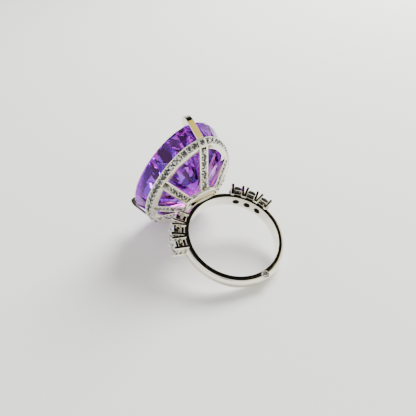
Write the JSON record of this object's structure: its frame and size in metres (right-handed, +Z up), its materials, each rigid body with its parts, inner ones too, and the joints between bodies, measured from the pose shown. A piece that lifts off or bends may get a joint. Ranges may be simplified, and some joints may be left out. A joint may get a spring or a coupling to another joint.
{
  "type": "cocktail ring",
  "caption": "Cocktail ring with a large violet faceted stone in an open pave basket, lying on its side.",
  "frame": {"origin": "centre of the finger bore", "axes": "+Z up as the ring lies on its side on a table, +Y level and towards the centre stone's end of the ring, +X across the ring's width; the finger axis leans in the YZ plane"},
  "size_m": [0.024, 0.0323, 0.0259],
  "materials": {
    "silver": "bright polished",
    "violet_stone": "faceted, polished",
    "clear_stone": "faceted, polished"
  },
  "bodies": {
    "root": {"band": "silver", "collar": "silver", "gallery_rail": "silver", "strut_front": "silver", "strut_back": "silver", "strut_right_a": "silver", "strut_right_b": "silver", "strut_right_c": "silver", "strut_left_a": "silver", "strut_left_b": "silver", "strut_left_c": "silver", "claw_front": "silver", "claw_right": "silver", "claw_left": "silver", "centre_stone": "violet_stone", "side_setting_right_1": "silver", "side_setting_right_2": "silver", "side_setting_right_3": "silver", "side_setting_left_1": "silver", "side_setting_left_2": "silver", "side_setting_left_3": "silver", "side_stone_right_1": "clear_stone", "side_stone_right_2": "clear_stone", "side_stone_right_3": "clear_stone", "side_stone_left_1": "clear_stone", "side_stone_left_2": "clear_stone", "side_stone_left_3": "clear_stone", "rail_pave": "clear_stone", "rail_grains": "silver", "strut_pave": "clear_stone", "strut_grains": "silver", "accent_rim": "silver", "accent_stone": "clear_stone"}
  },
  "joints": []
}
